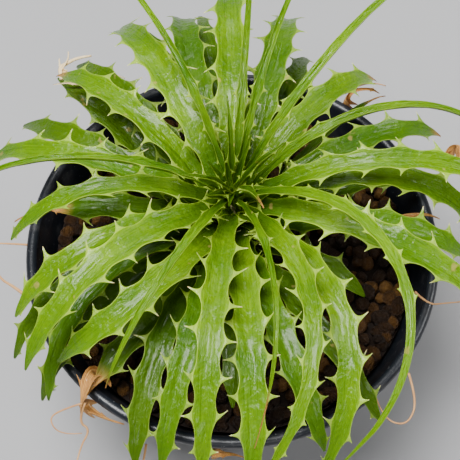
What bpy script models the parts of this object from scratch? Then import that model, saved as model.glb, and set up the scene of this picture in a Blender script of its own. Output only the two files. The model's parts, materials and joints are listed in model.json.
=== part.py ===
"""A spiny-leaved rosette plant growing in a round black nursery pot.

Metres, +Z up. The origin is the middle of the pot's flat base. The plant faces -Y, and its heart
stands a little behind the pot's middle. Every leaf, the stem, the root ball, the soil and the
pot is a solid of its own.
"""
import math

import bmesh
import bpy
from mathutils import Vector

MM = 0.001

# --- driving dimensions ---------------------------------------------------------------------
POT_HEIGHT = 60 * MM
POT_BASE_RADIUS = 28.5 * MM
POT_NECK_RADIUS = 46.8 * MM        # outer wall, just under the rim
RIM_RADIUS = 50 * MM               # outermost point of the rolled rim
RIM_INNER_RADIUS = 46.4 * MM
RIM_DEPTH = 4.2 * MM
POT_WALL = 1.3 * MM
POT_FLOOR = 2 * MM
BASE_EDGE = 1.5 * MM               # rounded edge between the base and the wall
DRAIN_HOLES = 6
DRAIN_RADIUS = 3.5 * MM
DRAIN_CIRCLE = 19 * MM

SOIL_DEPTH = 9 * MM                # from the rim's top down to the soil
SOIL_BUMP = 0.9 * MM               # how far the granules lift and sink the surface
GAP = 0.3 * MM                     # clearance between touching pieces

ROOT_BALL_RADIUS = 17 * MM
ROOT_BALL_TOP = 6 * MM             # below the soil's surface
ROOT_BALL_BOTTOM = 38 * MM

HEART_BACK = 3.5 * MM              # the stem stands this far behind the pot's middle
STEM_HEIGHT = 27 * MM              # above the rim's top
STEM_FOOT_RADIUS = 7.2 * MM
STEM_TOP_RADIUS = 2.2 * MM

LEAF_BASE_THICKNESS = 2.2 * MM
LEAF_THICKNESS = 1.5 * MM
LEAF_CHANNEL = 0.9 * MM            # how far the margins stand above the middle
LEAF_TIP_WIDTH = 0.5 * MM
SLENDER_WIDTH = 4.3 * MM           # a leaf narrower than this thins all the way to its tip
LONG_LEAF = 80 * MM                # and so does one longer than this
SLENDER_TAPER = 0.62               # share of its width such a leaf has lost by the tip
LEAF_SPREAD = 1.5                  # how late along the leaf its sweep comes in
LEAF_BEND = 1.25                   # how late along the leaf its droop comes in
SPINE_PITCH = 6.2 * MM
SPINE_BASE = 2.7 * MM
SPINE_HEIGHT = 2.5 * MM

# Each tier: height of its leaf bases above the rim's top, angle at which they leave the stem and
# angle at which their tips hang, in degrees above the horizontal.
TIERS = {
    "heart": (27.4 * MM, 72, 20),
    "crown": (24 * MM, 46, -62),
    "upper": (19 * MM, 42, -64),
    "middle": (13.5 * MM, 39, -64),
    "lower": (8 * MM, 36, -60),
    "skirt": (2.5 * MM, 32, -52),
    "ground": (-2.5 * MM, 28, -30),
}

# Each leaf: tier, azimuth from +X in degrees, length and width in millimetres, and how many
# degrees it swings sideways by its tip, then any change to its launch and its droop.
LEAVES = (
    ("heart", 12, 16, 2.0, 20, 0, 0),
    ("heart", 95, 20, 2.0, 0, 4, 0),
    ("heart", 205, 15, 2.0, -20, 0, 0),
    ("heart", 312, 13, 2.2, -20, -6, -20),
    ("crown", 115, 84, 2.8, 20, 0, 10),
    ("crown", 74, 84, 2.6, -14, 0, 10),
    ("crown", 49, 90, 3.6, -2, 0, 8),
    ("crown", 178, 76, 2.8, 14, 0, 0),
    ("crown", 242, 62, 3.6, -8, 0, -6),
    ("crown", 292, 73, 2.4, -49, 4, -3),
    ("crown", 340, 104, 4.4, -148, 0, 0),
    ("upper", 308, 84, 6.0, -95, 3, 0),
    ("upper", 336, 74, 6.6, 0, -4, 0),
    ("upper", 8, 76, 5.0, -22, 0, 0),
    ("upper", 32, 76, 3.8, -56, 5, 2),
    ("upper", 84, 74, 3.2, 6, 0, 10),
    ("upper", 120, 65, 7.2, 0, 0, -6),
    ("upper", 181, 57, 4.8, 24, 0, 0),
    ("upper", 214, 68, 6.4, 20, 0, 0),
    ("upper", 262, 72, 6.0, 6, 0, 0),
    ("middle", 277, 72, 6.8, -10, 0, 0),
    ("middle", 318, 77, 5.8, -88, 0, 0),
    ("middle", 12, 66, 6.4, -40, 0, -6),
    ("middle", 52, 56, 6.2, -14, 0, 0),
    ("middle", 91, 74, 7.0, 0, 0, 0),
    ("middle", 139, 60, 5.8, 0, 3, 8),
    ("middle", 166, 66, 5.8, -8, -3, 0),
    ("middle", 200, 60, 5.8, 18, 0, 0),
    ("middle", 240, 60, 6.6, -52, 3, 0),
    ("lower", 287, 62, 6.4, 10, 3, 0),
    ("lower", 254, 64, 6.2, 2, 0, 0),
    ("lower", 206, 66, 5.0, 56, -2, -8),
    ("lower", 182, 54, 6.0, -14, 0, 0),
    ("lower", 108, 70, 7.6, -20, 8, -14),
    ("lower", 74, 70, 7.2, 8, 6, -12),
    ("lower", 31, 60, 5.8, -12, 0, 0),
    ("lower", 351, 60, 7.0, 4, 0, 0),
    ("skirt", 303, 58, 5.8, 8, 4, 0),
    ("skirt", 240, 62, 6.4, 26, 0, 0),
    ("skirt", 213, 64, 5.2, 26, 3, -18),
    ("skirt", 152, 62, 7.2, -12, -3, 0),
    ("skirt", 130, 62, 6.6, 0, 7, 0),
    ("skirt", 97, 62, 5.4, 2, 5, 4),
    ("skirt", 68, 54, 5.8, 6, 0, 0),
    ("skirt", 43, 54, 3.4, 6, 6, 0),
    ("skirt", 19, 44, 5.2, -16, 0, 26),
    ("skirt", 333, 32, 5.6, 0, 0, 0),
    ("ground", 138, 58, 7.0, -6, 6, 0),
    ("ground", 112, 60, 5.0, -2, 15, -12),
    ("ground", 270, 39, 5.8, 0, 2, 0),
    ("ground", 233, 52, 6.4, -6, 9, -8),
    ("ground", 196, 63, 5.2, 40, 13, -34),
)


# --- leaf geometry --------------------------------------------------------------------------
def stem_radius(height):
    """The stem's radius at a height above the rim's top: a cone that closes in at the heart."""
    foot = -SOIL_DEPTH
    share = (height - foot) / (STEM_HEIGHT - foot)
    return STEM_FOOT_RADIUS + (STEM_TOP_RADIUS - STEM_FOOT_RADIUS) * share ** 1.4


def heading_at(share, leaf):
    """Unit direction of a leaf's midrib, a share of the way along it."""
    tier, azimuth, _, _, sweep, launch_change, droop_change = leaf
    _, launch, droop = TIERS[tier]
    launch += launch_change
    droop += droop_change
    pitch = math.radians(launch - (launch - droop) * share ** LEAF_BEND)
    around = math.radians(azimuth + sweep * share ** LEAF_SPREAD)
    return Vector((math.cos(pitch) * math.cos(around), math.cos(pitch) * math.sin(around), math.sin(pitch)))


def leaf_width(share, width, slender):
    """Blade width without its spines: narrow at the stem, full soon after, drawn out to a tip."""
    opening = min(1.0, 0.36 + 2.4 * share)
    closing = (1 - share ** 6) ** 0.8
    if slender:
        closing *= 1 - SLENDER_TAPER * share
    return max(LEAF_TIP_WIDTH, width * opening * closing)


def steps_along(length):
    """Shares along a leaf where it has a cross-section, each with the spine part it carries.

    A spine is three sections: its heel, its point and the notch after it.
    """
    steps = [(0.0, "plain"), (0.09, "plain")]
    heel = 0.16 * length
    while heel < 0.86 * length:
        steps.append((heel / length, "heel"))
        steps.append(((heel + 0.45 * SPINE_BASE) / length, "point"))
        steps.append(((heel + SPINE_BASE) / length, "notch"))
        heel += SPINE_PITCH
    steps.append((0.95, "plain"))
    steps.append((1.0, "plain"))
    return steps


def leaf_sections(leaf):
    """Cross-sections of a leaf, each as left margin, middle of the top, right margin, keel.

    They are measured from the plant's own point, on the stem's axis at the height of the rim.
    """
    tier, azimuth, length, width = leaf[:4]
    length *= MM
    width *= MM
    slender = width < SLENDER_WIDTH or length > LONG_LEAF
    height = TIERS[tier][0]
    around = math.radians(azimuth)
    start = stem_radius(height) + GAP
    place = Vector((math.cos(around) * start, math.sin(around) * start, height))
    sections = []
    last = 0.0
    for share, kind in steps_along(length):
        pieces = max(1, round((share - last) * 40))
        for piece in range(pieces):
            middle = last + (share - last) * (piece + 0.5) / pieces
            place = place + heading_at(middle, leaf) * ((share - last) * length / pieces)
        last = share
        along = heading_at(share, leaf)
        side = along.cross(Vector((0, 0, 1))).normalized()
        up = side.cross(along)
        if share == 0:
            up = Vector((0, 0, 1))         # the first section lies flat against the stem
        half = leaf_width(share, width, slender) / 2
        slim = min(1.0, 2 * half / (3 * MM))
        thick = slim * (LEAF_BASE_THICKNESS + (LEAF_THICKNESS - LEAF_BASE_THICKNESS) * min(1.0, 3 * share))
        margin = up * (LEAF_CHANNEL * slim * min(1.0, 4 * share))
        reach = half
        back = Vector((0, 0, 0))
        if kind == "point":
            spine = SPINE_HEIGHT * min(1.0, 0.12 + half / (2.9 * MM)) * min(1.0, 0.6 + 2 * share)
            reach = half + spine
            back = along * (-0.3 * SPINE_BASE)
        sections.append((
            place - side * reach + back + margin,
            place + up * (0.3 * thick),
            place + side * reach + back + margin,
            place - up * (0.7 * thick),
        ))
    return sections


# --- building -------------------------------------------------------------------------------
def clear_scene():
    """Remove whatever the scene holds."""
    for thing in list(bpy.data.objects):
        bpy.data.objects.remove(thing, do_unlink=True)


def new_collection(name):
    """A collection of its own in the scene."""
    group = bpy.data.collections.new(name)
    bpy.context.scene.collection.children.link(group)
    return group


def new_material(name, colour, roughness):
    """A Principled finish with its colour, roughness and no metal in it."""
    material = bpy.data.materials.new(name)
    material.use_nodes = True
    shader = material.node_tree.nodes["Principled BSDF"]
    shader.inputs["Base Color"].default_value = (*colour, 1)
    shader.inputs["Roughness"].default_value = roughness
    shader.inputs["Metallic"].default_value = 0
    material.diffuse_color = (*colour, 1)
    return material


def new_object(name, mesh, material, group):
    """An object for a mesh, with its finish, in its collection."""
    thing = bpy.data.objects.new(name, mesh)
    if material:
        mesh.materials.append(material)
    group.objects.link(thing)
    return thing


def turned(name, profile, segments, material, group):
    """A solid of revolution: (radius, height) points turned about the object's own Z axis."""
    mesh = bpy.data.meshes.new(name)
    points = [(radius, 0, height) for radius, height in profile]
    edges = [(i, i + 1) for i in range(len(points) - 1)]
    mesh.from_pydata(points, edges, [])
    thing = new_object(name, mesh, material, group)
    screw = thing.modifiers.new("turn", "SCREW")
    screw.steps = segments
    screw.render_steps = segments
    screw.use_merge_vertices = True
    screw.merge_threshold = 0.00001
    screw.use_smooth_shade = True
    return thing


def cut_from(thing, cutter):
    """Cut a cutter out of a piece, and keep the cutter out of the finished object."""
    cutter.hide_render = True
    cutter.display_type = "WIRE"
    cut = thing.modifiers.new(cutter.name, "BOOLEAN")
    cut.operation = "DIFFERENCE"
    cut.solver = "EXACT"
    cut.object = cutter


def arc(centre, radius, start, end, count):
    """Points on an arc of a profile, from one angle to another, in degrees."""
    points = []
    for i in range(count + 1):
        angle = math.radians(start + (end - start) * i / count)
        points.append((centre[0] + radius * math.cos(angle), centre[1] + radius * math.sin(angle)))
    return points


def inner_wall(height):
    """The pot's inner radius at a height above its base."""
    neck = POT_HEIGHT - RIM_DEPTH
    share = (height - POT_FLOOR) / (neck - POT_FLOOR)
    foot = POT_BASE_RADIUS - POT_WALL
    return foot + (POT_NECK_RADIUS - POT_WALL - foot) * share


def build_pot(material, group, cutters):
    """The pot: one thin tapering wall with a rolled rim, and drain holes through its floor."""
    bead = (RIM_RADIUS - RIM_INNER_RADIUS) / 2
    neck = POT_HEIGHT - RIM_DEPTH
    profile = [(0, POT_FLOOR), (inner_wall(POT_FLOOR), POT_FLOOR), (inner_wall(neck), neck)]
    profile += arc((RIM_RADIUS - bead, POT_HEIGHT - bead), bead, 180, 0, 6)
    profile += [(RIM_RADIUS - bead / 4, neck), (POT_NECK_RADIUS, neck)]
    profile += arc((POT_BASE_RADIUS - BASE_EDGE, BASE_EDGE), BASE_EDGE, -5, -90, 3)
    profile += [(0, 0)]
    pot = turned("pot", profile, 48, material, group)

    holes = bpy.data.meshes.new("drain_holes")
    shape = bmesh.new()
    for i in range(DRAIN_HOLES):
        angle = 2 * math.pi * i / DRAIN_HOLES
        hole = bmesh.ops.create_cone(shape, cap_ends=True, segments=16, radius1=DRAIN_RADIUS,
                                     radius2=DRAIN_RADIUS, depth=6 * POT_FLOOR)
        offset = (DRAIN_CIRCLE * math.cos(angle), DRAIN_CIRCLE * math.sin(angle), 0)
        bmesh.ops.translate(shape, verts=hole["verts"], vec=offset)
    shape.to_mesh(holes)
    shape.free()
    cut_from(pot, new_object("drain_holes", holes, None, cutters))


def root_profile(clearance):
    """Outline of the root ball in the pot's height, grown all round by a clearance."""
    surface = POT_HEIGHT - SOIL_DEPTH
    top = surface - ROOT_BALL_TOP + clearance
    bottom = surface - ROOT_BALL_BOTTOM - clearance
    wide = ROOT_BALL_RADIUS + clearance
    return [
        (STEM_FOOT_RADIUS + clearance, top),
        (0.8 * wide, top - 3 * MM),
        (wide, top - 10 * MM),
        (0.95 * wide, bottom + 12 * MM),
        (0.7 * wide, bottom + 3 * MM),
        (0.3 * wide, bottom),
        (0, bottom),
    ]


def build_soil(soil_material, root_material, group, cutters):
    """The soil, filling the pot, and the root ball in a hollow of its own inside it."""
    surface = POT_HEIGHT - SOIL_DEPTH
    bottom = POT_FLOOR + GAP
    top_radius = inner_wall(surface) - GAP
    rings = 7
    profile = [(top_radius * i / rings, surface) for i in range(rings + 1)]
    profile += [(inner_wall(bottom) - GAP, bottom), (0, bottom)]
    soil = turned("soil", profile, 48, soil_material, group)
    uneven = soil.vertex_groups.new(name="surface")
    uneven.add(list(range(rings)), 1.0, "REPLACE")
    granules = bpy.data.textures.new("granules", "CLOUDS")
    granules.noise_scale = 6 * MM
    lift = soil.modifiers.new("granules", "DISPLACE")
    lift.texture = granules
    lift.texture_coords = "LOCAL"
    lift.direction = "Z"
    lift.vertex_group = uneven.name
    lift.strength = 2 * SOIL_BUMP

    neck = [(0, surface + 5 * MM), (STEM_FOOT_RADIUS + GAP, surface + 5 * MM)]
    well = turned("root_hollow", neck + root_profile(GAP), 24, None, cutters)
    well.location = (0, HEART_BACK, 0)
    cut_from(soil, well)

    ball = turned("root_ball", [(0, root_profile(0)[0][1])] + root_profile(0), 24, root_material, group)
    ball.location = (0, HEART_BACK, 0)


def build_stem(material, group, plant):
    """The short stem that carries every leaf: straight in the soil, then a cone up to the heart."""
    foot = GAP - SOIL_DEPTH - ROOT_BALL_TOP
    rows = 8
    profile = [(0, STEM_HEIGHT), (0.6 * STEM_TOP_RADIUS, STEM_HEIGHT)]
    for i in range(rows + 1):
        height = STEM_HEIGHT - 0.6 * MM - (STEM_HEIGHT + SOIL_DEPTH) * i / rows
        profile.append((stem_radius(max(height, -SOIL_DEPTH)), height))
    profile += [(STEM_FOOT_RADIUS, foot), (0, foot)]
    stem = turned("stem", profile, 20, material, group)
    stem.parent = plant


def build_leaf(name, leaf, material, group, plant):
    """One leaf: a loft through its cross-sections, closed at the stem and at its tip."""
    sections = leaf_sections(leaf)
    points = [point for section in sections for point in section]
    sides = len(sections[0])
    faces = []
    for row in range(len(sections) - 1):
        for i in range(sides):
            here = row * sides + i
            beside = row * sides + (i + 1) % sides
            faces.append((here, beside, beside + sides, here + sides))
    tip = len(points) - sides
    faces.append(tuple(range(sides - 1, -1, -1)))
    faces.append(tuple(range(tip, tip + sides)))
    mesh = bpy.data.meshes.new(name)
    mesh.from_pydata(points, [], faces)
    mesh.shade_smooth()
    mesh.set_sharp_from_angle(angle=math.radians(50))
    blade = new_object(name, mesh, material, group)
    blade.parent = plant


def build_plant(materials, group):
    """Every leaf on its stem, all standing on the plant's own point."""
    plant = bpy.data.objects.new("plant", None)
    plant.location = (0, HEART_BACK, POT_HEIGHT)
    group.objects.link(plant)
    build_stem(materials["stem"], group, plant)
    counts = {}
    for leaf in LEAVES:
        tier = leaf[0]
        counts[tier] = counts.get(tier, 0) + 1
        build_leaf(f"leaf_{tier}_{counts[tier]}", leaf, materials[tier], group, plant)


def main():
    """Build the pot, what fills it and the plant."""
    clear_scene()
    group = new_collection("potted_encholirium")
    cutters = new_collection("cutters")
    young = new_material("young_leaf", (0.34, 0.52, 0.06), 0.32)
    mature = new_material("mature_leaf", (0.24, 0.42, 0.05), 0.34)
    old = new_material("old_leaf", (0.12, 0.26, 0.05), 0.4)
    materials = {
        "stem": new_material("stem", (0.3, 0.42, 0.16), 0.5),
        "heart": young,
        "crown": young,
        "upper": mature,
        "middle": mature,
        "lower": mature,
        "skirt": old,
        "ground": old,
    }
    build_pot(new_material("black_plastic", (0.012, 0.013, 0.016), 0.42), group, cutters)
    build_soil(new_material("soil", (0.14, 0.06, 0.03), 0.9), new_material("roots", (0.4, 0.3, 0.2), 0.8),
               group, cutters)
    build_plant(materials, group)


main()
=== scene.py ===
"""The finished looks of a spiny rosette plant in a black nursery pot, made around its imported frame."""
import json
import math
import random

import bmesh
import bpy
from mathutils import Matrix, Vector

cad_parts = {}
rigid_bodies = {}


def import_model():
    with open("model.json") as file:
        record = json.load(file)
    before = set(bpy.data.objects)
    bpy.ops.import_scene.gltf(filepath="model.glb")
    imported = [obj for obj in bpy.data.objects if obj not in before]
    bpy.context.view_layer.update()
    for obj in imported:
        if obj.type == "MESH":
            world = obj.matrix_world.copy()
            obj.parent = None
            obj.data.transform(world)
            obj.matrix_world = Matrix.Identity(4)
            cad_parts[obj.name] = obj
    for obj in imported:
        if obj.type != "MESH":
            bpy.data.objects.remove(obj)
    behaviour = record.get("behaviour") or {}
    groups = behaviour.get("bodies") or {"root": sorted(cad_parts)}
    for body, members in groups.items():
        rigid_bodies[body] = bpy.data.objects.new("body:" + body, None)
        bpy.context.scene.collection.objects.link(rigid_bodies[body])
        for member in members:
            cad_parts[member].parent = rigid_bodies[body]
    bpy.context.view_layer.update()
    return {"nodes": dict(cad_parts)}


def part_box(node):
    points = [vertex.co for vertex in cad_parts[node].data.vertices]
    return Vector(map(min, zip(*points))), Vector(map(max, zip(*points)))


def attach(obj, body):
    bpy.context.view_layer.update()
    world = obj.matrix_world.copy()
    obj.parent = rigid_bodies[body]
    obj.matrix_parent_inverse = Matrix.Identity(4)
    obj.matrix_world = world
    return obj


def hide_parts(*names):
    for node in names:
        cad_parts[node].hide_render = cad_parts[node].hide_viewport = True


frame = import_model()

MM = 0.001

# --- where things are, from the frame ---------------------------------------------------------
POT_LOW, POT_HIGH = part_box("pot")
SOIL_LOW, SOIL_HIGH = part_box("soil")
STEM_LOW, STEM_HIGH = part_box("stem")
RIM_TOP = POT_HIGH.z
SOIL_TOP = SOIL_HIGH.z - 0.9 * MM
SOIL_RADIUS = (SOIL_HIGH.x - SOIL_LOW.x) / 2
HEART = Vector(((STEM_LOW.x + STEM_HIGH.x) / 2, (STEM_LOW.y + STEM_HIGH.y) / 2, STEM_HIGH.z))
LEAVES = sorted(name for name in frame["nodes"] if name.startswith("leaf_"))

# --- leaf blade --------------------------------------------------------------------------------
BLADE_CELLS = 2.05 * MM            # length of one cell of a blade: a spine stands on one cell
BLADE_COLUMNS = 8
BLADE_THICKNESS = 1.3 * MM
BLADE_EDGE = 0.5 * MM              # thickness at the margins
CHANNEL_DEPTH = 0.9 * MM
RIDGE_HEIGHT = 0.15 * MM
LUMPS = 0.32 * MM                  # unevenness of a blade's skin
SPINE_LENGTH = 3.9 * MM
BODY_SHARE = 0.88                  # a blade's width between its spines, against its CAD width
SLENDER_SHARE = 0.74               # the same for a slender leaf
SLENDER = 2.1 * MM                 # half width below which a leaf is one of the slender ones
WEB = 0.44                         # how far a web stands out, against its spine's length
WEB_CELLS = 1.5                    # how far a web reaches along the margin, in cells
SPINE_PULLS = (                    # reach, width kept, thickness kept, and sideways bend
    (0.2, 0.5, 0.75, 0.06),
    (0.22, 0.48, 0.6, 0.14),
    (0.3, 0.18, 0.35, 0.22),
)
SHEATH = 6 * MM                    # how far a leaf runs down the stem below where it leaves it
CLASP = 2.2 * MM                   # how much further its sheath curls round the stem


# --- mesh helpers ------------------------------------------------------------------------------
def deselect():
    """Leave nothing selected and nothing active."""
    for thing in bpy.context.view_layer.objects:
        thing.select_set(False)


def activate(thing):
    """Select one object alone."""
    deselect()
    thing.select_set(True)
    bpy.context.view_layer.objects.active = thing


def edit(thing):
    """Open an object's mesh in edit mode with nothing selected."""
    activate(thing)
    bpy.ops.object.mode_set(mode="EDIT")
    bpy.ops.mesh.select_mode(type="VERT")
    bpy.ops.mesh.select_all(action="DESELECT")


def leave_edit():
    """Close edit mode."""
    bpy.ops.object.mode_set(mode="OBJECT")


def select_vertices(thing, chosen):
    """In edit mode, select just the vertices whose place passes a test."""
    mesh = bmesh.from_edit_mesh(thing.data)
    bpy.ops.mesh.select_mode(type="VERT")
    for vertex in mesh.verts:
        vertex.select = chosen(vertex.co)
    mesh.select_flush_mode()
    bmesh.update_edit_mesh(thing.data)


def select_faces(thing, chosen):
    """In edit mode, select just the faces that pass a test."""
    bpy.ops.mesh.select_mode(type="FACE")
    mesh = bmesh.from_edit_mesh(thing.data)
    for face in mesh.faces:
        face.select_set(chosen(face))
    bmesh.update_edit_mesh(thing.data)


def apply_all(thing):
    """Apply every modifier of an object, first to last."""
    activate(thing)
    for modifier in list(thing.modifiers):
        bpy.ops.object.modifier_apply(modifier=modifier.name)


def subdivide(thing, levels):
    """Round an object's cage off."""
    smooth = thing.modifiers.new("round", "SUBSURF")
    smooth.levels = levels
    smooth.render_levels = levels


def finish_piece(thing, slot, *nodes):
    """Hand a finished piece over: it rides on the pot's body and stands for its CAD nodes."""
    activate(thing)
    bpy.ops.object.shade_smooth()
    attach(thing, "root")
    if nodes:
        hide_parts(*nodes)


# --- the leaves' midribs -----------------------------------------------------------------------
def leaf_rows(node):
    """A CAD leaf's sections from the stem to its tip, as midrib points and half widths.

    Each section has four corners: two margins, the middle of the top and the keel. The widths
    of the sections that carry a spine are left out.
    """
    shape = bmesh.new()
    shape.from_mesh(frame["nodes"][node].data)
    bmesh.ops.remove_doubles(shape, verts=shape.verts, dist=0.000001)
    by_stem = sorted(shape.verts, key=lambda v: (v.co.xy - HEART.xy).length)
    row = set(by_stem[:4])
    seen = set(row)
    middles = []
    widths = []
    while row:
        corners = [v.co.copy() for v in row]
        pairs = [(a, b) for a in corners for b in corners]
        left, right = max(pairs, key=lambda pair: (pair[0] - pair[1]).length)
        others = sorted((c for c in corners if c not in (left, right)), key=lambda c: c.z)
        keel, top = others[0], others[-1]
        middles.append(top * 0.7 + keel * 0.3)
        widths.append((left - right).length / 2)
        row = {edge.other_vert(v) for v in row for edge in v.link_edges} - seen
        seen |= row
    shape.free()
    return middles, widths


def midrib(node, spacing=1.2 * MM):
    """A leaf's midrib as evenly spaced points with a half width at each."""
    middles, widths = leaf_rows(node)
    travelled = [0.0]
    for a, b in zip(middles, middles[1:]):
        travelled.append(travelled[-1] + (b - a).length)
    last = len(widths) - 3
    plain = [(travelled[i], widths[i]) for i in range(len(widths)) if i < 3 or (i - 3) % 3 or i > last]
    length = travelled[-1]
    count = max(8, round(length / spacing))
    points = []
    halves = []
    for i in range(count + 1):
        at = length * i / count
        points.append(along_points(travelled, middles, at))
        halves.append(along_values(plain, at))
    return points, halves


def along_points(travelled, middles, at):
    """The point of a smooth line through the middles, a distance along it."""
    last = len(middles) - 2
    i = max(k for k in range(last + 1) if travelled[k] <= at + 1e-9)
    before = middles[max(0, i - 1)]
    after = middles[min(last + 1, i + 2)]
    start, end = middles[i], middles[i + 1]
    span = travelled[i + 1] - travelled[i]
    t = (at - travelled[i]) / span
    slope_start = (end - before) / (travelled[i + 1] - travelled[max(0, i - 1)]) * span
    slope_end = (after - start) / (travelled[min(last + 1, i + 2)] - travelled[i]) * span
    return (start * (2 * t ** 3 - 3 * t ** 2 + 1) + slope_start * (t ** 3 - 2 * t ** 2 + t)
            + end * (3 * t ** 2 - 2 * t ** 3) + slope_end * (t ** 3 - t ** 2))


def along_values(pairs, at):
    """A value read from (distance, value) pairs, with straight lines between them."""
    for (a, low), (b, high) in zip(pairs, pairs[1:]):
        if at <= b:
            return low + (high - low) * max(0.0, at - a) / (b - a)
    return pairs[-1][1]


# --- a leaf's blade, modelled flat and then bent along its midrib ------------------------------
def blade_height(place, half, ribbed):
    """Height of a blade's top at a place on it: a channel with lengthwise ridges, and its sheath."""
    across = place.y / half
    channel = CHANNEL_DEPTH * abs(across) ** 1.8
    ridge = RIDGE_HEIGHT * ribbed * math.cos(math.pi * across * BLADE_COLUMNS / 2)
    clasp = CLASP * across * across * max(0.0, 1 - place.x / (2.2 * SHEATH)) ** 2
    return channel + ridge + clasp


def flat_blade(name, length, half, draw, spiny):
    """A straight blade along +X: a channelled strip, with webbed spines on a share of its length."""
    cells = max(6, round(length / BLADE_CELLS))
    deselect()
    bpy.ops.mesh.primitive_grid_add(x_subdivisions=cells, y_subdivisions=BLADE_COLUMNS, size=1)
    blade = bpy.context.object
    blade.name = name
    edge = blade.data.attributes.new("edge", "FLOAT", "POINT")
    for value, vertex in zip(edge.data, blade.data.vertices):
        value.value = float(abs(vertex.co.y) > 0.49)
    edit(blade)
    bpy.ops.mesh.select_all(action="SELECT")
    bpy.ops.transform.resize(value=(length, 2 * half, 1))
    bpy.ops.transform.translate(value=(length / 2, 0, 0))
    mesh = bmesh.from_edit_mesh(blade.data)
    ribbed = draw.choice((0.3, 0.5, 0.7, 1.0))
    for vertex in mesh.verts:
        vertex.co.z = blade_height(vertex.co, half, ribbed) + draw.uniform(-LUMPS, LUMPS)
    bmesh.update_edit_mesh(blade.data)
    bpy.ops.mesh.extrude_region_move(TRANSFORM_OT_translate={"value": (0, 0, -BLADE_EDGE)})
    mesh = bmesh.from_edit_mesh(blade.data)
    for vertex in mesh.verts:
        if vertex.select:
            across = vertex.co.y / half
            vertex.co.z -= (BLADE_THICKNESS - BLADE_EDGE) * (1 - across * across)
    bmesh.update_edit_mesh(blade.data)
    bpy.ops.mesh.select_all(action="SELECT")
    bpy.ops.mesh.normals_make_consistent(inside=False)
    grow_spines(blade, half, (length / cells, round(cells * spiny)), draw)
    leave_edit()
    return blade


def spine_cells(cells, draw):
    """The cells of one margin that carry a spine: every four or five, not evenly."""
    chosen = []
    cell = math.ceil(SHEATH / BLADE_CELLS) + draw.choice((1, 2))
    while cell < cells - 1:
        chosen.append(cell)
        cell += draw.choice((4, 4, 5))
    return chosen


def web_reach(x, cell, chosen):
    """How far the margin swells out at x, towards the spines near it."""
    reach = 0.0
    for at in chosen:
        away = abs(x / cell - at - 0.5)
        reach = max(reach, max(0.0, 1 - away / WEB_CELLS) ** 2.2)
    return reach


def grow_spines(blade, half, spacing, draw):
    """Swell the margins into webs, then draw a spine out of each in three pulls, hooked at its tip."""
    cell, cells = spacing
    chosen = {1: spine_cells(cells, draw), -1: spine_cells(cells, draw)}
    habits = {(side, at): spine_habit(at / cells, draw) for side in (1, -1) for at in chosen[side]}
    size = SPINE_LENGTH * min(1.0, max(0.4, (half - 0.9 * MM) / (1.5 * MM)))
    mesh = bmesh.from_edit_mesh(blade.data)
    for vertex in mesh.verts:
        nearness = abs(vertex.co.y) / half
        if nearness > 0.6:
            side = 1 if vertex.co.y > 0 else -1
            share = 1.0 if nearness > 0.9 else 0.3
            vertex.co.y += side * share * WEB * size * web_reach(vertex.co.x, cell, chosen[side])
    mesh.normal_update()
    bmesh.update_edit_mesh(blade.data)
    select_faces(blade, lambda face: on_spine(face, cell, half, chosen))
    for reach, narrower, thinner, back in SPINE_PULLS:
        bpy.ops.mesh.extrude_faces_move(TRANSFORM_OT_shrink_fatten={"value": 0})
        mesh = bmesh.from_edit_mesh(blade.data)
        for face in [f for f in mesh.faces if f.select]:
            centre = face.calc_center_median()
            side = 1 if centre.y > 0 else -1
            at = min(chosen[side], key=lambda c: abs(c + 0.5 - centre.x / cell))
            tall, bent, raised = habits[side, at]
            for vertex in face.verts:
                offset = vertex.co - centre
                vertex.co.x = centre.x + offset.x * narrower - back * bent * size
                vertex.co.y = centre.y + side * reach * size * tall
                vertex.co.z = centre.z + offset.z * thinner + raised * reach * size
        bmesh.update_edit_mesh(blade.data)
    bpy.ops.mesh.select_all(action="DESELECT")


def spine_habit(share, draw):
    """One spine's own height, hook and rise: hooked most, and towards the stem, near the heart."""
    hook = draw.uniform(-0.5, 1.1) + 0.7 * (1 - share)
    return draw.uniform(0.75, 1.15), hook, draw.uniform(-0.1, 0.5)


def on_spine(face, cell, half, chosen):
    """Whether a margin face is one that a spine is drawn from."""
    centre = face.calc_center_median()
    if abs(centre.y) < 0.97 * half or abs(face.normal.y) < 0.85:
        return False
    return int(centre.x / cell) in chosen[1 if centre.y > 0 else -1]


def record_blade(blade, length, half, dry_from):
    """Keep each point's own place on the blade, for the materials: along, across and share."""
    mesh = blade.data
    for name, kind in (("blade", "FLOAT_VECTOR"), ("spine", "FLOAT"), ("dry", "FLOAT")):
        mesh.attributes.new(name, kind, "POINT")
    place, spine, dry = (mesh.attributes[name].data for name in ("blade", "spine", "dry"))
    for i, vertex in enumerate(mesh.vertices):
        x, y, _ = vertex.co
        place[i].vector = (x / MM, y / half, x / length)
        spine[i].value = min(1.0, max(0.0, (abs(y) - half) / SPINE_LENGTH))
        dry[i].value = min(1.0, max(0.0, (x / length - dry_from) / 0.06))


def bend_along(blade, points, scales, rolls):
    """Bend a straight blade along a line of points, scaled and rolled as it goes."""
    line = bpy.data.curves.new("midrib", "CURVE")
    line.dimensions = "3D"
    line.twist_mode = "Z_UP"
    line.use_radius = True
    spline = line.splines.new("POLY")
    spline.points.add(len(points) - 1)
    for knot, point, scale, roll in zip(spline.points, points, scales, rolls):
        knot.co = (*point, 1)
        knot.radius = scale
        knot.tilt = roll
    guide = bpy.data.objects.new("midrib", line)
    bpy.context.collection.objects.link(guide)
    bend = blade.modifiers.new("bend", "CURVE")
    bend.object = guide
    bend.deform_axis = "POS_X"
    activate(blade)
    bpy.ops.object.modifier_apply(modifier=bend.name)
    bpy.data.objects.remove(guide, do_unlink=True)
    bpy.data.curves.remove(line)


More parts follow.
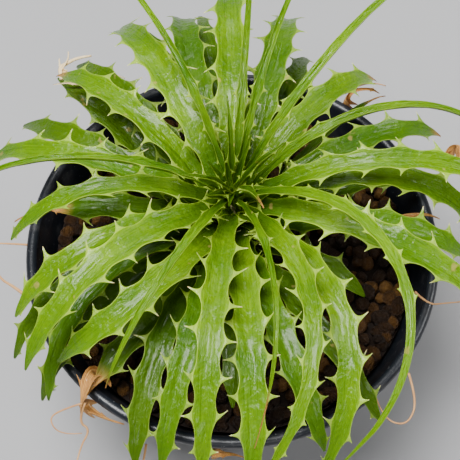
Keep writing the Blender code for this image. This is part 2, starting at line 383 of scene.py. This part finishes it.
def with_sheath(points, halves):
    """A midrib carried on down beside the stem, where the leaf's sheath clasps it."""
    first = points[0]
    outward = (first - HEART) * Vector((1, 1, 0))
    outward.normalize()
    foot = first - outward * 1.2 * MM - Vector((0, 0, SHEATH * 0.95))
    heading = (points[2] - first).normalized() * SHEATH
    rise = Vector((0, 0, SHEATH))
    sheath = []
    for i in range(5):
        t = i / 5
        sheath.append(foot * (2 * t ** 3 - 3 * t ** 2 + 1) + rise * (t ** 3 - 2 * t ** 2 + t)
                      + first * (3 * t ** 2 - 2 * t ** 3) + heading * (t ** 3 - t ** 2))
    return sheath + points, [halves[0]] * 5 + halves


def blade_scale(share, width, slender, dry_from):
    """How wide the blade is at a share of its length, from its CAD width as a share of its widest."""
    if dry_from < 0:
        return max(0.1, 1.05 - share ** 0.8)
    if slender:
        return max(0.2, width) * (1 - 0.4 * (share > dry_from))
    if share > dry_from:
        return max(0.1, width * (1 - (share - dry_from) / 0.1), 0.16 - 0.1 * share)
    base = 0.95 - 1.6 * share if share < 0.13 else 0.742 + 1.2 * (share - 0.13)
    return max(min(base, 1.0) if share < 0.3 else 0, width, 0.07)


def make_leaf(name, line, halves, material, levels=2, dry_from=2.0):
    """One leaf, from its flat blade to its bent and rounded form."""
    draw = random.Random(name)
    slender = max(halves) < SLENDER
    points, halves = with_sheath(line, halves)
    length = sum((b - a).length for a, b in zip(points, points[1:]))
    full = max(halves) * (SLENDER_SHARE if slender else BODY_SHARE)
    spiny = min(1.0, max(0.4, max(halves) / MM - 1.2)) if length > 30 * MM else 1
    blade = flat_blade(name, length, full, draw, spiny)
    record_blade(blade, length, full, dry_from)
    last = len(points) - 1
    scales = [blade_scale(i / last, half / max(halves), slender, dry_from) for i, half in enumerate(halves)]
    wave = draw.uniform(0, 2 * math.pi)
    lean = draw.uniform(-0.16, 0.16) if dry_from > 0 else draw.choice((-1.8, -1.2, 1.2, 1.8))
    rolls = [lean * i / last + 0.1 * math.sin(wave + 5 * i / last) for i in range(last + 1)]
    bend_along(blade, points, scales, rolls)
    subdivide(blade, levels)
    apply_all(blade)
    blade.data.materials.append(material)
    return blade


# --- materials ---------------------------------------------------------------------------------
class Wire:
    """A node's output that can be added, multiplied and so on, as numbers can."""

    def __init__(self, tree, socket):
        self.tree = tree
        self.socket = socket

    def maths(self, operation, *others, clamp=False):
        """A Math node fed by this value and others."""
        values = dict(enumerate((self, *others)))
        return self.tree.node("ShaderNodeMath", {"operation": operation, "use_clamp": clamp}, values)

    def __add__(self, other):
        return self.maths("ADD", other)

    __radd__ = __add__

    def __sub__(self, other):
        return self.maths("SUBTRACT", other)

    def __rsub__(self, other):
        return self.tree.node("ShaderNodeMath", {"operation": "SUBTRACT"}, {0: other, 1: self})

    def __mul__(self, other):
        return self.maths("MULTIPLY", other)

    __rmul__ = __mul__

    def __truediv__(self, other):
        return self.maths("DIVIDE", other)

    def __pow__(self, other):
        return self.maths("POWER", other)

    def size(self):
        """The value without its sign."""
        return self.maths("ABSOLUTE")

    def held(self):
        """The value kept between 0 and 1."""
        return self.maths("ADD", 0.0, clamp=True)

    def step(self, low, high):
        """0 below low, 1 above high, and a smooth rise between."""
        settings = {"interpolation_type": "SMOOTHSTEP"}
        inputs = {"Value": self, "From Min": low, "From Max": high}
        return self.tree.node("ShaderNodeMapRange", settings, inputs)

    def part(self, axis):
        """One component of a vector."""
        return self.tree.node("ShaderNodeSeparateXYZ", {}, {"Vector": self}, output="XYZ"[axis])


class Finish:
    """A material under construction: a Principled shader and the nodes that feed it."""

    def __init__(self, name, constants):
        self.material = bpy.data.materials.new(name)
        self.material.use_nodes = True
        self.nodes = self.material.node_tree.nodes
        self.links = self.material.node_tree.links
        self.shader = self.nodes["Principled BSDF"]
        for socket, value in constants.items():
            self.shader.inputs[socket].default_value = value

    def node(self, kind, settings=None, inputs=None, output=0):
        """Add any node: its settings first, then the values or links of its sockets."""
        made = self.nodes.new(kind)
        for key, value in (settings or {}).items():
            if key == "stops":
                set_stops(made, value)
            else:
                setattr(made, key, value)
        for key, value in (inputs or {}).items():
            self.feed(made.inputs[key], value)
        return Wire(self, made.outputs[output])

    def feed(self, socket, value):
        """Give a socket a link or a plain value."""
        if isinstance(value, Wire):
            self.links.new(value.socket, socket)
        else:
            socket.default_value = value

    def set(self, **values):
        """Feed the shader's own sockets, named with underscores for spaces."""
        for key, value in values.items():
            self.feed(self.shader.inputs[key.replace("_", " ")], value)
        return self.material

    def attribute(self, name, output="Fac"):
        """An attribute of the piece's own mesh."""
        return self.node("ShaderNodeAttribute", {"attribute_name": name}, output=output)

    def place(self):
        """The piece's own coordinates, in metres."""
        return self.node("ShaderNodeTexCoord", output="Object")

    def vector(self, x, y, z):
        """A vector from three values."""
        return self.node("ShaderNodeCombineXYZ", {}, {"X": x, "Y": y, "Z": z})

    def noise(self, vector, scale, detail=2.0, roughness=0.5):
        """Smooth noise from 0 to 1."""
        inputs = {"Vector": vector, "Scale": scale, "Detail": detail, "Roughness": roughness}
        return self.node("ShaderNodeTexNoise", {}, inputs)

    def mix(self, factor, first, second, blend="MIX"):
        """A blend of two colours."""
        colours = [c if isinstance(c, Wire) else (*c, 1) for c in (first, second)]
        settings = {"data_type": "RGBA", "blend_type": blend}
        return self.node("ShaderNodeMix", settings, {0: factor, 6: colours[0], 7: colours[1]}, output=2)

    def bump(self, height, distance, strength=1.0, normal=None):
        """A surface relief of a height in metres."""
        inputs = {"Height": height, "Distance": distance, "Strength": strength}
        if normal:
            inputs["Normal"] = normal
        return self.node("ShaderNodeBump", {}, inputs)


def set_stops(ramp, stops):
    """Give a colour ramp its stops: (position, colour) pairs."""
    elements = ramp.color_ramp.elements
    while len(elements) < len(stops):
        elements.new(1.0)
    for element, (position, colour) in zip(elements, stops):
        element.position = position
        element.color = (*colour, 1)


def leaf_finish(name, bright, deep, tip, margin, gloss):
    """Living leaf skin: streaked green, pale margins, cream spines, and tan where it has dried, with painted
    shade down the middle of the channel and round the heart.
    """
    skin = Finish(name, {"Subsurface Weight": 0.06, "Subsurface Scale": 0.001, "IOR": 1.28,
                         "Coat Weight": 0.16, "Coat Roughness": 0.1})
    skin.shader.inputs["Subsurface Radius"].default_value = (0.5, 1.0, 0.2)
    blade = skin.attribute("blade", "Vector")
    along = blade.part(0)
    across = blade.part(1)
    share = blade.part(2)
    spine = skin.attribute("spine")
    dry = skin.attribute("dry")
    edge = skin.attribute("edge")
    place = skin.place()

    lumps = skin.noise(skin.vector(along * 0.62, across * 2.4, 7.0), 1.0, 2.0, 0.5)
    streaks = skin.noise(skin.vector(along * 0.07, across * 7.0, 0.0), 1.0, 3.0, 0.6)
    fine = skin.noise(skin.vector(along * 0.2, across * 24.0, 3.0), 1.0, 2.0, 0.5)
    cloud = skin.noise(place, 60.0, 3.0, 0.55)
    scar = skin.noise(place, 260.0, 2.0, 0.5).step(0.7, 0.76)
    scurf = skin.noise(place, 420.0, 4.0, 0.65).step(0.5, 0.72)
    # painted shade: leaf skin darkened within about 22 mm of the plant's axis, where the heart lies in
    # shadow
    out_x = place.part(0) - HEART.x
    out_y = place.part(1) - HEART.y
    painted_heart_shade = 1 - ((out_x * out_x + out_y * out_y) ** 0.5).step(0.005, 0.022)

    green = skin.mix((cloud * 2.0 + streaks * 1.1 - 1.15).held(), deep, bright)
    green = skin.mix(fine.step(0.5, 0.75) * 0.2, green, tuple(min(1, c * 1.4) for c in bright))
    green = skin.mix(fine.step(0.5, 0.25) * 0.25, green, deep)
    green = skin.mix(scurf * 0.05, green, (0.55, 0.7, 0.25))
    # painted shade: the middle of the blade's channel, away from its margins, darkened towards the deep
    # green
    green = skin.mix(edge.step(0.62, 0.05) * (0.3 + lumps * 0.35), green, deep)
    green = skin.mix(share.step(0.4, 1.0) * 0.5, green, tip)
    # painted shade: the leaf bases round the heart mixed towards half the deep green
    green = skin.mix(painted_heart_shade * 0.72, green, tuple(c * 0.5 for c in deep))
    green = skin.mix(edge.step(0.78, 1.0) * 0.5, green, margin)
    green = skin.mix(spine.step(0.55, 0.88), green, (0.68, 0.72, 0.28))
    green = skin.mix(spine.step(0.8, 1.0) * 0.8, green, (0.8, 0.56, 0.28))
    green = skin.mix(scar * 0.5, green, (0.4, 0.3, 0.08))
    straw = skin.mix(streaks.step(0.3, 0.7), (0.3, 0.1, 0.015), (0.68, 0.38, 0.12))
    colour = skin.mix(dry, green, straw)
    rough = gloss + streaks * 0.16 + (scar + scurf * 0.4 + dry) * 0.3
    relief = skin.bump(fine * 0.12 + streaks * 0.4 + lumps * 1.5, 0.0004, 0.9)
    return skin.set(Base_Color=colour, Roughness=rough, Normal=relief)


def plastic_finish():
    """Black moulded plastic: semi-matt, finely pitted, with a trace of pale dust."""
    plastic = Finish("black_plastic", {"IOR": 1.5})
    place = plastic.place()
    pits = plastic.noise(place, 1500.0, 2.0, 0.6)
    dust = plastic.noise(place, 160.0, 4.0, 0.65).step(0.52, 0.8)
    # tiny near-white specks over the plastic
    white_specks = plastic.noise(place, 2400.0, 1.0, 0.5).step(0.74, 0.8)
    upright = plastic.vector(place.part(0) * 260, place.part(1) * 260, place.part(2) * 12)
    runs = plastic.noise(upright, 1.0, 3.0, 0.6)
    colour = plastic.mix(dust * 0.3, (0.007, 0.009, 0.013), (0.09, 0.085, 0.08))
    colour = plastic.mix(runs.step(0.55, 0.8) * 0.25, colour, (0.06, 0.058, 0.055))
    colour = plastic.mix(white_specks * 0.8, colour, (0.6, 0.6, 0.58))
    relief = plastic.bump(pits, 0.00012, 0.5)
    return plastic.set(Base_Color=colour, Roughness=0.3 + pits * 0.14 + dust * 0.2, Normal=relief)


def granule_finish():
    """Fired clay granules: red-brown to near black, matt, each with a tone of its own."""
    clay = Finish("clay_granules", {"IOR": 1.4})
    place = clay.place()
    tone = clay.attribute("tone")
    grain = clay.noise(place, 1800.0, 3.0, 0.7)
    cloud = clay.noise(place, 420.0, 2.0, 0.5)
    ramp = clay.node(
        "ShaderNodeValToRGB",
        {"stops": ((0.0, (0.007, 0.003, 0.001)), (0.4, (0.028, 0.011, 0.002)),
                   (0.7, (0.09, 0.038, 0.006)), (1.0, (0.28, 0.14, 0.03)))},
        {"Fac": (tone * 0.75 + cloud * 0.3 + grain * 0.12 - 0.1).held()},
    )
    relief = clay.bump(grain * 2.2 + cloud * 2.5, 0.0008, 1.0)
    return clay.set(Base_Color=ramp, Roughness=0.3 + grain * 0.4, Normal=relief)


def fibre_finish(name, pale, dark):
    """Dried plant fibre: straw with darker lengthwise streaks."""
    fibre = Finish(name, {"IOR": 1.25})
    place = fibre.place()
    cloud = fibre.noise(place, 260.0, 3.0, 0.6)
    fine = fibre.noise(place, 1600.0, 2.0, 0.6)
    colour = fibre.mix((cloud * 1.2 - 0.1).held(), dark, pale)
    relief = fibre.bump(fine + cloud, 0.0002, 0.6)
    return fibre.set(Base_Color=colour, Roughness=0.6 + fine * 0.2, Normal=relief)


young = leaf_finish("young_leaf", (0.26, 0.445, 0.0), (0.045, 0.135, 0.0),
                    (0.16, 0.32, 0.0), (0.4, 0.56, 0.06), 0.22)
mature = leaf_finish("mature_leaf", (0.245, 0.42, 0.0), (0.038, 0.115, 0.0),
                     (0.1, 0.23, 0.0), (0.4, 0.56, 0.06), 0.2)
# painted shade: a darker copy of the mature skin, for the lower leaves that lie under the others
shaded = leaf_finish("shaded_leaf", (0.135, 0.275, 0.0), (0.03, 0.095, 0.0),
                     (0.075, 0.18, 0.0), (0.34, 0.48, 0.05), 0.22)
old = leaf_finish("old_leaf", (0.1, 0.2, 0.0), (0.025, 0.07, 0.0),
                  (0.06, 0.13, 0.0), (0.3, 0.42, 0.06), 0.26)
plastic = plastic_finish()
clay = granule_finish()
# the soil under the granules: peat's own dark colour, deepened to near black as painted shade for the gaps
# between granules
peat_and_gap_shade = fibre_finish("peat_with_painted_gap_shade", (0.012, 0.005, 0.0015), (0.003, 0.0015, 0.0007))
roots = fibre_finish("dry_roots", (0.42, 0.3, 0.18), (0.12, 0.07, 0.04))
stalk = fibre_finish("stem_skin", (0.38, 0.36, 0.16), (0.16, 0.12, 0.05))
bleached = fibre_finish("bleached_leaf", (0.9, 0.8, 0.52), (0.66, 0.4, 0.15))
tendril = fibre_finish("dried_leaf", (0.72, 0.44, 0.2), (0.38, 0.15, 0.05))

# --- the leaves --------------------------------------------------------------------------------
# the lower leaves wear the darker copy of the mature skin, as painted shade
AGES = {"heart": ("leaf_young", young), "crown": ("leaf_young", young), "upper": ("leaf_mature", mature),
        "middle": ("leaf_mature", mature), "lower": ("leaf_mature", shaded),
        "skirt": ("leaf_old", old), "ground": ("leaf_old", old)}
WITHERED = {"leaf_lower_4": 0.66, "leaf_crown_6": 0.8, "leaf_middle_4": 0.9, "leaf_middle_6": 0.9,
            "leaf_lower_7": 0.92, "leaf_skirt_8": 0.8, "leaf_ground_4": 0.84, "leaf_heart_4": 0.85,
            "leaf_crown_5": 0.93}
for node in LEAVES:
    slot_name, skin = AGES[node.split("_")[1]]
    line, halves = midrib(node)
    dry_from = WITHERED.get(node, 2.0)
    leaf = make_leaf(node.replace("leaf_", "blade_"), line, halves, skin, dry_from=dry_from)
    finish_piece(leaf, slot_name, node)


def arc_line(start, azimuth, launch, droop, length, swing=0.0):
    """A midrib from a start point: heading out at an azimuth and rise, drooping and swinging, in degrees."""
    count = max(8, round(length / (1.2 * MM)))
    points = [Vector(start)]
    for i in range(count):
        t = (i + 0.5) / count
        turn = math.radians(azimuth + swing * t)
        rise = math.radians(launch + droop * t)
        heading = Vector((math.cos(turn) * math.cos(rise), math.sin(turn) * math.cos(rise), math.sin(rise)))
        points.append(points[-1] + heading * length / count)
    return points


def heart_point(azimuth, out, up):
    """A point beside the plant's axis: an azimuth, a distance out and a height above the stem's top."""
    turn = math.radians(azimuth)
    return HEART + Vector((out * math.cos(turn), out * math.sin(turn), up)) * MM


# the youngest leaves, still upright in the heart: azimuth, length, half width, launch, droop, swing
HEART_LEAVES = (
    (150, 11, 1.0, 66, -10, 10), (118, 13, 0.8, 74, 0, 0), (62, 15, 1.1, 62, -6, 0),
    (28, 11, 0.9, 60, -20, 12), (342, 9, 0.9, 52, -40, 20), (262, 7, 0.9, 58, -30, 0),
    (222, 9, 0.9, 60, -30, -15), (185, 8, 0.8, 64, -20, 0),
)
for number, (azimuth, length, half, launch, droop, swing) in enumerate(HEART_LEAVES, 1):
    line = arc_line(heart_point(azimuth, 1.2, -3.5), azimuth, launch, droop, length * MM, swing)
    halves = [half * MM * (1 - 0.85 * (i / len(line)) ** 1.4) for i in range(len(line))]
    leaf = make_leaf(f"heart_shoot_{number}", line, halves, young)
    finish_piece(leaf, "leaf_young")

# --- dried remains: dead leaf ends and the fine threads they leave --------------------------------
RIM = Vector((0, 0, RIM_TOP))


def dead_leaf(name, start, azimuth, launch, droop, length, half, swing=0.0, skin=None):
    """A short curled piece of dead leaf."""
    line = arc_line(RIM + Vector(start) * MM, azimuth, launch, droop, length * MM, swing)
    leaf = make_leaf(name, line, [half * MM] * len(line), skin or dead_skin, dry_from=-1)
    finish_piece(leaf, "leaf_old")


def thread(name, thickness, *places, skin=None):
    """A dry thread through a few places, given from the middle of the rim in millimetres."""
    line = bpy.data.curves.new(name, "CURVE")
    line.dimensions = "3D"
    line.bevel_depth = thickness / 2 * MM
    line.bevel_resolution = 2
    line.resolution_u = 8
    line.use_fill_caps = True
    spline = line.splines.new("NURBS")
    spline.points.add(len(places) - 1)
    spline.order_u = 3
    spline.use_endpoint_u = True
    for i, (knot, place) in enumerate(zip(spline.points, places)):
        knot.co = (*(RIM + Vector(place) * MM), 1)
        knot.radius = 1 - 0.7 * i / len(places)
    strand = bpy.data.objects.new(name, line)
    bpy.context.collection.objects.link(strand)
    activate(strand)
    bpy.ops.object.convert(target="MESH")
    strand = bpy.context.object
    edit(strand)
    bpy.ops.mesh.select_all(action="SELECT")
    bpy.ops.mesh.remove_doubles(threshold=0.00001)
    leave_edit()
    strand.data.materials.append(skin or tendril)
    finish_piece(strand, "leaf_old")


dead_skin = leaf_finish("dead_leaf_skin", (0.2, 0.2, 0.02), (0.1, 0.1, 0.01),
                        (0.2, 0.15, 0.05), (0.6, 0.4, 0.2), 0.5)
dead_leaf("dead_sheath_front_left", (-32.5, -34.5, 5), 245, -6, -60, 10, 3.6, 10)
dead_leaf("dead_tip_right", (42, 8, 1), 12, 30, -60, 9, 1.7, -30)
dead_leaf("dead_tip_right_back", (56, 28, 1), 262, 20, -60, 13, 1.6, 30)
dead_leaf("dead_leaf_back", (13, 41, -2), 100, 0, -60, 10, 1.8, 30)
dead_leaf("dead_leaf_back_right", (30, 43, 2), 20, 10, -70, 9, 1.3, -20)
dead_leaf("dead_curl_left", (-39.5, 44, 7), 170, 30, -60, 8, 1.5, -90, bleached)
dead_leaf("dead_margin_left", (-35, 41, 8), 165, 10, -30, 10, 1.2, 20, bleached)
dead_leaf("dead_bit_front_left", (-35, -39, -3), 325, 0, -30, 11, 2.4, 30)
dead_leaf("dead_bit_front", (-4, -50, -5), 10, 0, -20, 7, 1.3, -30)
thread("thread_front_left_1", 0.7, (-34, -40, 2), (-36, -43, -3), (-33, -44, -5),
       (-36, -48, -8), (-38, -56, -14))
thread("thread_front_left_2", 0.5, (-34, -40, 2), (-39, -40, -2), (-43, -42, -3),
       (-40, -46, -4), (-35, -45, -5))
thread("thread_left_1", 0.6, (-49, 2, -2), (-54, 2, -1), (-60, 3, -3))
thread("thread_left_2", 0.9, (-51, -9, -6), (-54, -6, -8), (-57, -4, -9), (-60, 1, -10))
thread("thread_front_right", 0.6, (41, -32, 0), (43, -38, -2), (41, -43, -4),
       (37, -43, -4), (34, -40, -2), (33, -37, 0))
thread("thread_right", 0.55, (43, -13, 4), (46, -16, 3), (50, -16, 4), (60, -15, 4))
thread("thread_top_left_1", 1.3, (-42.4, 43, 8), (-43.4, 46.3, 8), (-41.6, 47.4, 8),
       (-38.8, 49.3, 8), (-35.5, 50.4, 7),
       skin=bleached)
thread("thread_top_left_2", 0.6, (-43, 45, 8), (-41.5, 47, 9), (-41, 49.5, 8),
       (-41.2, 51, 8), skin=bleached)
thread("thread_top_left_3", 0.5, (-33.6, 47, 6), (-30, 46, 6), (-27, 45, 5), skin=bleached)
thread("thread_right_back", 0.6, (55, 22, 2), (57, 25, 3), (59, 28, 3), (61, 28.5, 2))
thread("thread_back_right", 0.5, (28, 40, 6), (33, 42, 10), (38, 41, 8))
thread("thread_front", 0.6, (-20, -48, -4), (-21, -54, -8), (-24, -60, -12))

# --- the pot -----------------------------------------------------------------------------------
POT_STEPS = 144


def turned(name, profile, axis=(0, 0), steps=POT_STEPS):
    """A closed shape turned round an upright axis, ring by ring, from one pole to the other."""
    (radius, height), *rest = profile
    deselect()
    place = (*axis, height)
    bpy.ops.mesh.primitive_circle_add(vertices=steps, radius=radius, fill_type="TRIFAN", location=place)
    thing = bpy.context.object
    thing.name = name
    bpy.ops.object.transform_apply(location=True)
    edit(thing)
    select_vertices(thing, lambda place: (place.xy - Vector(axis)).length > radius * 0.5)
    for new_radius, new_height in rest:
        bpy.ops.mesh.extrude_edges_move(TRANSFORM_OT_translate={"value": (0, 0, new_height - height)})
        growth = new_radius / radius
        bpy.ops.transform.resize(value=(growth, growth, 1), center_override=(*axis, new_height))
        radius, height = new_radius, new_height
    bpy.ops.mesh.merge(type="CENTER")
    bpy.ops.mesh.select_all(action="SELECT")
    bpy.ops.mesh.normals_make_consistent(inside=False)
    leave_edit()
    return thing


def curl(centre, radius, start, end, steps):
    """Points of a circular arc in a turned profile, in degrees from straight out."""
    turns = [math.radians(start + (end - start) * i / steps) for i in range(steps + 1)]
    return [(centre[0] + radius * math.cos(a), centre[1] + radius * math.sin(a)) for a in turns]


def drill(thing, count, circle, radius, depth):
    """Drill a ring of round holes down through a piece's floor."""
    for i in range(count):
        turn = 2 * math.pi * i / count
        place = (circle * math.cos(turn), circle * math.sin(turn), 0)
        deselect()
        bpy.ops.mesh.primitive_cylinder_add(vertices=24, radius=radius, depth=depth, location=place)
        drill_bit = bpy.context.object
        hole = thing.modifiers.new("hole", "BOOLEAN")
        hole.operation = "DIFFERENCE"
        hole.solver = "EXACT"
        hole.object = drill_bit
        activate(thing)
        bpy.ops.object.modifier_apply(modifier=hole.name)
        bpy.data.objects.remove(drill_bit, do_unlink=True)


POT_FOOT = 28.5 * MM
STEP_HEIGHT = RIM_TOP - 14 * MM    # a small moulded step round the wall, under the rim
wall_lean = (46.6 * MM - POT_FOOT) / (RIM_TOP - 5 * MM)
step_radius = POT_FOOT + wall_lean * STEP_HEIGHT
pot_profile = [(1 * MM, 0.8 * MM), (24 * MM, 0.8 * MM), (25 * MM, 0)]
pot_profile += [(POT_FOOT - 0.9 * MM, 0), (POT_FOOT, 0.9 * MM)]
pot_profile += [(step_radius - 0.6 * MM, STEP_HEIGHT - 0.4 * MM), (step_radius, STEP_HEIGHT)]
pot_profile += [(46.6 * MM, RIM_TOP - 4.6 * MM), (49.2 * MM, RIM_TOP - 4.2 * MM)]
pot_profile += curl((48.6 * MM, RIM_TOP - 1.4 * MM), 1.4 * MM, -30, 180, 12)
pot_profile += [(46.3 * MM, RIM_TOP - 3 * MM), (45.3 * MM, RIM_TOP - 6 * MM)]
pot_profile += [(27.2 * MM, 2.4 * MM), (26.4 * MM, 2 * MM), (1 * MM, 2 * MM)]
pot = turned("nursery_pot", pot_profile)
drill(pot, 6, 19 * MM, 3.5 * MM, 10 * MM)
pot.data.materials.append(plastic)
finish_piece(pot, "pot_plastic", "pot")

# --- the stem ----------------------------------------------------------------------------------
core_profile = [(1 * MM, STEM_LOW.z), (7 * MM, STEM_LOW.z + 0.2 * MM)]
for ring in range(9):
    ring_height = STEM_LOW.z + (3 + 3.2 * ring) * MM
    ring_radius = (7.2 - 0.55 * ring) * MM
    core_profile += [(ring_radius, ring_height), (ring_radius - 0.5 * MM, ring_height + 0.4 * MM)]
core_profile += [(1 * MM, STEM_LOW.z + 31 * MM)]
core = turned("stem_core", core_profile, HEART.xy, 48)
core.data.materials.append(stalk)
finish_piece(core, "stem", "stem")

# --- soil --------------------------------------------------------------------------------------
soil_node = frame["nodes"]["soil"]
for part in (soil_node, frame["nodes"]["root_ball"]):
    finish = {"soil": peat_and_gap_shade, "root_ball": roots}[part.name]
    for slot_at in part.material_slots:
        slot_at.material = finish

GRANULE_KINDS = 6
GRANULE_PITCH = 3.4 * MM


def granule(kind):
    """One rounded clay granule, about a unit across."""
    deselect()
    bpy.ops.mesh.primitive_cube_add(size=1)
    grain = bpy.context.object
    edit(grain)
    bpy.ops.mesh.select_all(action="SELECT")
    bpy.ops.mesh.subdivide(number_cuts=2)
    bpy.ops.transform.tosphere(value=1)
    bpy.ops.transform.resize(value=(0.72, 0.72, 0.72))
    bpy.ops.transform.vertex_random(offset=0.07, uniform=0.5, normal=0.5, seed=kind)
    bpy.ops.mesh.vertices_smooth(factor=0.4)
    leave_edit()
    return grain


def spread_granules():
    """Granules over the soil, a jittered honeycomb of them, clear of the stem."""
    draw = random.Random(11)
    kinds = [granule(kind) for kind in range(GRANULE_KINDS)]
    made = []
    rows = int(SOIL_RADIUS / (GRANULE_PITCH * 0.866)) + 1
    for row in range(-rows, rows + 1):
        for column in range(-rows - 2, rows + 3):
            x = (column + 0.5 * (row % 2)) * GRANULE_PITCH + draw.uniform(-0.9, 0.9) * MM
            y = row * GRANULE_PITCH * 0.866 + draw.uniform(-0.9, 0.9) * MM
            size = draw.choice((3.2, 3.6, 4.0, 4.4, 4.8)) * MM
            away = math.hypot(x, y)
            if away > SOIL_RADIUS + 0.5 * size:
                continue
            if away > SOIL_RADIUS - 0.45 * size:
                x, y = (c * (SOIL_RADIUS - 0.45 * size) / away for c in (x, y))
            if math.hypot(x - HEART.x, y - HEART.y) < 9 * MM:
                continue
            grain = draw.choice(kinds).copy()
            grain.data = grain.data.copy()
            bpy.context.collection.objects.link(grain)
            grain.location = (x, y, SOIL_TOP + 0.25 * size + draw.uniform(-0.5, 0.9) * MM)
            grain.rotation_euler = [draw.uniform(0, 2 * math.pi) for _ in range(3)]
            grain.scale = [size * draw.uniform(*span) for span in ((0.9, 1.2), (0.85, 1.05), (0.75, 1.0))]
            tone = grain.data.attributes.new("tone", "FLOAT", "POINT")
            shade = draw.random()
            for value in tone.data:
                value.value = shade
            made.append(grain)
    for kind in kinds:
        bpy.data.objects.remove(kind, do_unlink=True)
    deselect()
    for grain in made:
        grain.select_set(True)
    bpy.context.view_layer.objects.active = made[0]
    bpy.ops.object.join()
    heap = bpy.context.object
    heap.name = "soil_granules"
    bpy.ops.object.transform_apply(location=True, rotation=True, scale=True)
    return heap


granules = spread_granules()
granules.data.materials.append(clay)
finish_piece(granules, "soil_granules")

# --- floor, light and camera -------------------------------------------------------------------
floor_finish = Finish("pale_floor", {"Roughness": 0.75, "IOR": 1.4})
floor_finish.set(Base_Color=(0.35, 0.35, 0.355, 1))
deselect()
bpy.ops.mesh.primitive_plane_add(size=6)
floor = bpy.context.object
floor.name = "floor"
floor.data.materials.append(floor_finish.material)


def softbox(name, place, size, watts, colour=(1, 1, 1)):
    """A soft square light aimed at the middle of the plant."""
    light = bpy.data.lights.new(name, "AREA")
    light.shape = "RECTANGLE"
    light.size, light.size_y = size
    light.energy = watts
    light.color = colour
    lamp = bpy.data.objects.new(name, light)
    bpy.context.collection.objects.link(lamp)
    lamp.location = place
    lamp.rotation_euler = (Vector((0, 0, RIM_TOP)) - Vector(place)).to_track_quat("-Z", "Y").to_euler()


softbox("key", (-0.2, -0.05, 1.0), (0.45, 0.45), 23)
softbox("front", (0.15, -0.95, 0.6), (0.5, 0.2), 2.6)
softbox("right", (0.85, 0.1, 0.65), (0.3, 0.3), 4.5)
softbox("back", (-0.1, 0.9, 0.65), (0.5, 0.2), 2.6)

world = bpy.data.worlds.new("studio")
bpy.context.scene.world = world
world.use_nodes = True
world.node_tree.nodes["Background"].inputs["Color"].default_value = (0.9, 0.95, 1.0, 1)
world.node_tree.nodes["Background"].inputs["Strength"].default_value = 0.07

CAMERA_ELEVATION = math.radians(64)
CAMERA_DISTANCE = 0.4
forward = Vector((0, math.cos(CAMERA_ELEVATION), -math.sin(CAMERA_ELEVATION)))
upward = Vector((0, math.sin(CAMERA_ELEVATION), math.cos(CAMERA_ELEVATION)))
aim = Vector((-0.63 * MM, 0, RIM_TOP)) + upward * 4.6 * MM
lens = bpy.data.cameras.new("camera")
lens.sensor_width = 36
lens.lens = 129.5
camera = bpy.data.objects.new("camera", lens)
bpy.context.collection.objects.link(camera)
camera.location = aim - forward * CAMERA_DISTANCE
camera.rotation_euler = forward.to_track_quat("-Z", "Y").to_euler()
bpy.context.scene.camera = camera
